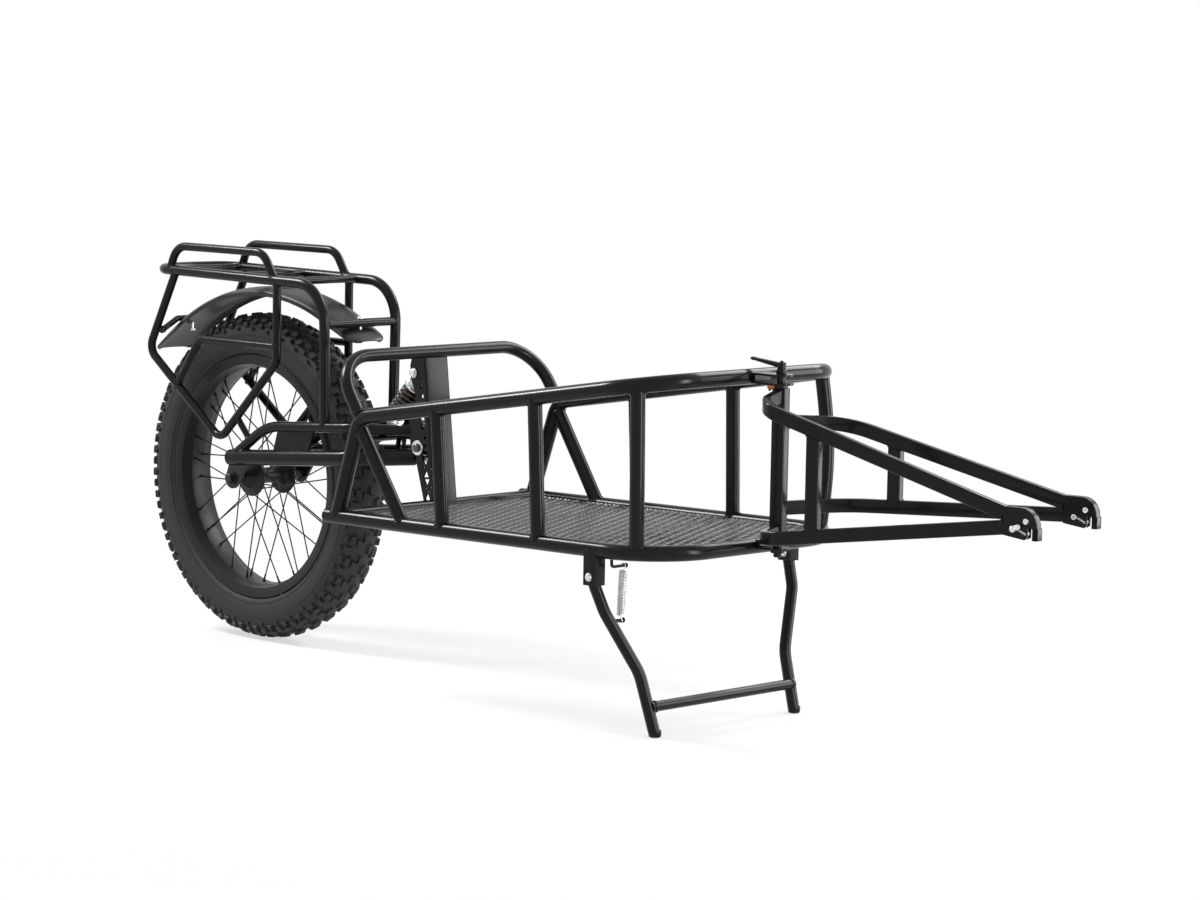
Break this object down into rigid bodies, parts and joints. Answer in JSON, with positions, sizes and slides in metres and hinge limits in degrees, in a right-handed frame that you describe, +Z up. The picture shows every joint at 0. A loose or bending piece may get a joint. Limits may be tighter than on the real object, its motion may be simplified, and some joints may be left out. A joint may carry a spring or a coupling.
{
  "type": "cargo bike trailer",
  "caption": "Single-wheel cargo trailer for a fat-tyre bicycle: sprung rear wheel with rack and fender, tube basket with mesh floor, steering yoke and folding stand.",
  "frame": {"origin": "on the ground, in the middle of the overall box", "axes": "+X forward to the towing bicycle, +Y to the trailer's left, +Z up"},
  "size_m": [2.4341, 0.5826, 0.8433],
  "materials": {
    "black_frame": "satin black powder coat",
    "spokes": "black oxide",
    "rim": "satin black anodised",
    "tyre": "matt",
    "rubber": "matt",
    "plastic": "fine grained",
    "steel": "bright zinc",
    "spring": "gloss enamel",
    "brass": "turned"
  },
  "bodies": {
    "frame": {"lower_rail": "black_frame", "upper_rail": "black_frame", "seat_hoop": "black_frame", "rear_floor_cross": "black_frame", "floor_mesh": "black_frame", "mast": "black_frame", "pivot_bolt": "steel", "shock_bolt": "steel", "king_bracket_upper": "black_frame", "king_bracket_lower": "black_frame", "spring_rod": "black_frame", "first_post_right": "black_frame", "second_post_right": "black_frame", "corner_post_right": "black_frame", "rear_brace_right": "black_frame", "stand_bracket_right": "black_frame", "stand_bolt_right": "black_frame", "first_post_left": "black_frame", "second_post_left": "black_frame", "corner_post_left": "black_frame", "rear_brace_left": "black_frame", "stand_bracket_left": "black_frame", "stand_bolt_left": "black_frame"},
    "fork": {"pivot_tube": "black_frame", "shock_carrier": "black_frame", "axle": "black_frame", "rack": "black_frame", "rack_crossbar": "black_frame", "fender": "plastic", "fender_stay": "black_frame", "fender_bolt_front": "steel", "fender_bolt_rear": "steel", "swing_arm_right": "black_frame", "dropout_plate_right": "black_frame", "side_hoop_right": "black_frame", "pannier_frame_right": "black_frame", "swing_arm_left": "black_frame", "dropout_plate_left": "black_frame", "side_hoop_left": "black_frame", "pannier_frame_left": "black_frame"},
    "wheel": {"hub_and_spokes": "spokes", "rim": "rim", "tyre": "tyre", "valve": "rubber"},
    "shock_upper": {"shock_body": "steel", "shock_spring": "spring"},
    "shock_lower": {"shock_shaft": "steel"},
    "stand": {"kickstand": "black_frame"},
    "stand_coil": {"stand_spring": "steel"},
    "yoke": {"head_tube": "black_frame", "kingpin_bushing": "brass", "yoke_arm_right": "black_frame", "hitch_plate_right": "black_frame", "yoke_arm_left": "black_frame", "hitch_plate_left": "black_frame"},
    "lever": {"kingpin_lever": "black_frame"},
    "latch_right": {"latch_pin_right": "steel"},
    "latch_left": {"latch_pin_left": "steel"}
  },
  "joints": [
    {"name": "suspension", "type": "hinge", "parent": "frame", "child": "fork", "pos_m": [-0.35713, 0, 0.456], "axis": [0, 1, 0], "range_deg": [0, 6.8], "stiffness_Nm_per_rad": 600, "springref_deg": -8.59},
    {"name": "wheel_spin", "type": "hinge", "parent": "fork", "child": "wheel", "pos_m": [-0.86713, 0, 0.35], "axis": [0, 1, 0], "continuous": true},
    {"name": "shock_tilt", "type": "hinge", "parent": "frame", "child": "shock_upper", "pos_m": [-0.37213, 0, 0.608], "axis": [0, 1, 0], "range_deg": [0, 3.2]},
    {"name": "shock_stroke", "type": "slide", "parent": "shock_upper", "child": "shock_lower", "axis": [0.6881, 0, 0.7256], "range_m": [0, 0.0145], "deforming": ["shock_spring"]},
    {"name": "stand_fold", "type": "hinge", "parent": "frame", "child": "stand", "pos_m": [0.38687, 0, 0.298], "axis": [0, 1, 0], "range_deg": [0, 100]},
    {"name": "stand_spring_swing", "type": "hinge", "parent": "frame", "child": "stand_coil", "pos_m": [0.41687, -0.225, 0.318], "axis": [0, 1, 0], "range_deg": [0, 75], "deforming": ["stand_spring"]},
    {"name": "steering", "type": "hinge", "parent": "frame", "child": "yoke", "pos_m": [0.59687, 0, 0.5], "axis": [0, 0, 1], "range_deg": [-69, 51]},
    {"name": "kingpin_lever_turn", "type": "hinge", "parent": "frame", "child": "lever", "pos_m": [0.59687, 0, 0.7], "axis": [0, 0, 1], "range_deg": [0, 90]},
    {"name": "latch_right_slide", "type": "slide", "parent": "yoke", "child": "latch_right", "axis": [0.8997, 0.1425, -0.4125], "range_m": [0, 0.009]},
    {"name": "latch_left_slide", "type": "slide", "parent": "yoke", "child": "latch_left", "axis": [0.8997, 0.1425, -0.4125], "range_m": [0, 0.009]}
  ],
  "couplings": [
    {"joint": "shock_tilt", "follows": "suspension", "ratio": 0.3627},
    {"joint": "shock_stroke", "follows": "suspension", "m_per_rad": 0.11761},
    {"joint": "stand_spring_swing", "follows": "stand_fold", "ratio": 0.7263}
  ]
}
